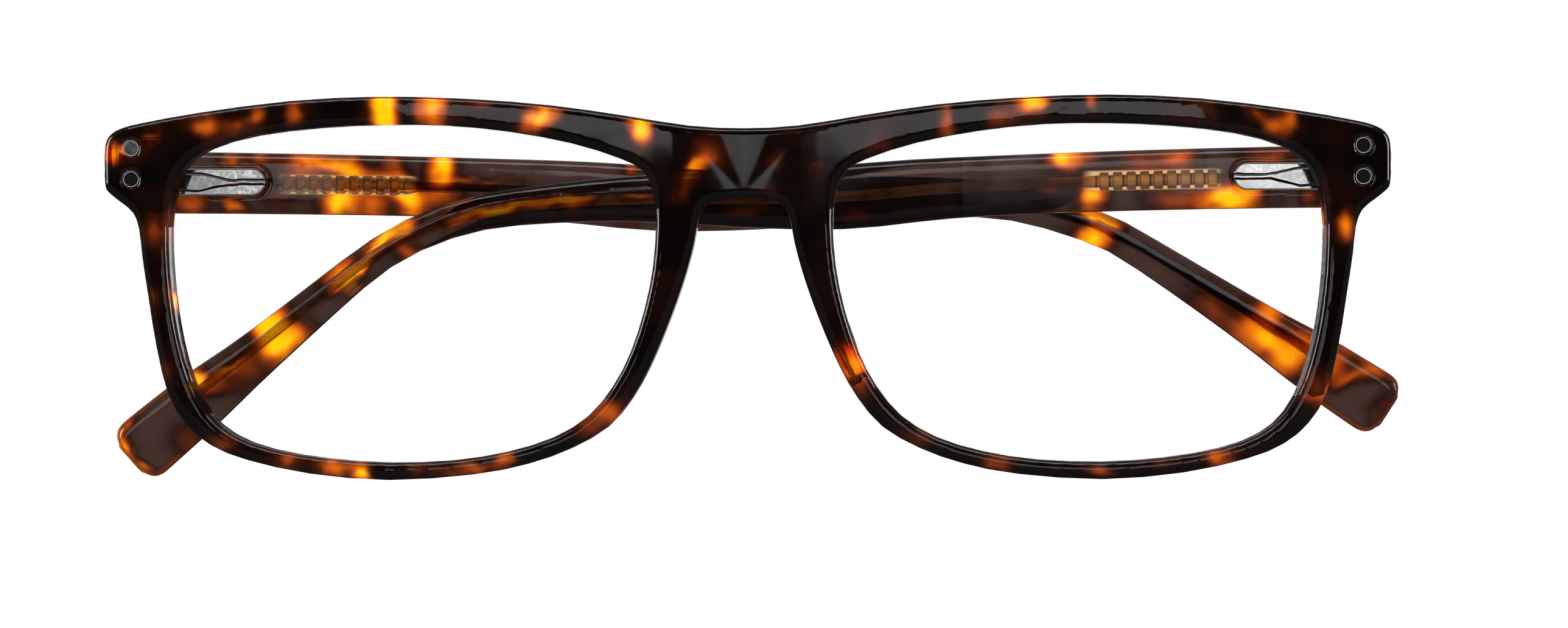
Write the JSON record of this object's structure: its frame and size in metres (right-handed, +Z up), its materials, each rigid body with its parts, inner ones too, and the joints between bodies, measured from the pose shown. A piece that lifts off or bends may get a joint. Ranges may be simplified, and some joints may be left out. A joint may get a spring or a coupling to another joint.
{
  "type": "eyeglasses frame",
  "caption": "Full-rim acetate eyeglasses frame with clear lenses and two folding sprung temples with drop tips, shown folded.",
  "frame": {"origin": "under the middle of the bounding box, on the surface that the rims' lowest points stand on", "axes": "+X towards the wearer's left, -Y the way the front faces, +Z up"},
  "size_m": [0.1429, 0.0221, 0.0421],
  "materials": {
    "tortoiseshell": "polished acetate, near-black brown with amber, orange and red blotches",
    "lens": "clear demo lens",
    "chrome": "polished",
    "rivet_steel": "polished pin end with a bright rim",
    "screw_steel": "satin",
    "core_metal": "satin nickel silver, seen through the acetate"
  },
  "bodies": {
    "front": {"front": "tortoiseshell", "lens_right": "lens", "nose_pad_right": "tortoiseshell", "hinge_plate_right": "chrome", "rivet_right_upper": "rivet_steel", "rivet_right_lower": "rivet_steel", "hinge_screw_right": "screw_steel", "lens_left": "lens", "nose_pad_left": "tortoiseshell", "hinge_plate_left": "chrome", "rivet_left_upper": "rivet_steel", "rivet_left_lower": "rivet_steel", "hinge_screw_left": "screw_steel"},
    "hinge_slider_left": {"hinge_slider_left": "chrome", "slider_stop_left": "screw_steel", "hinge_spring_left": "screw_steel"},
    "temple_left": {"temple_left": "tortoiseshell", "wire_core_left": "core_metal", "spring_housing_left": "chrome"},
    "hinge_slider_right": {"hinge_slider_right": "chrome", "slider_stop_right": "screw_steel", "hinge_spring_right": "screw_steel"},
    "temple_right": {"temple_right": "tortoiseshell", "wire_core_right": "core_metal", "spring_housing_right": "chrome"}
  },
  "joints": [
    {"name": "temple_left_fold", "type": "hinge", "parent": "front", "child": "hinge_slider_left", "pos_m": [0.0652, 0.001, 0.03325], "axis": [0, 0, -1], "range_deg": [0, 94]},
    {"name": "temple_left_spring", "type": "slide", "parent": "hinge_slider_left", "child": "temple_left", "axis": [-0.9994, -0.0349, 0], "range_m": [0, 0.0015], "stiffness_N_per_m": 1500, "springref_m": -0.0015, "deforming": ["hinge_spring_left"]},
    {"name": "temple_right_fold", "type": "hinge", "parent": "front", "child": "hinge_slider_right", "pos_m": [-0.0652, 0.001, 0.0329], "axis": [0, 0, 1], "range_deg": [0, 89.8]},
    {"name": "temple_right_spring", "type": "slide", "parent": "hinge_slider_right", "child": "temple_right", "axis": [0.9993, 0.0384, 0], "range_m": [0, 0.0015], "stiffness_N_per_m": 1500, "springref_m": -0.0015, "deforming": ["hinge_spring_right"]}
  ]
}
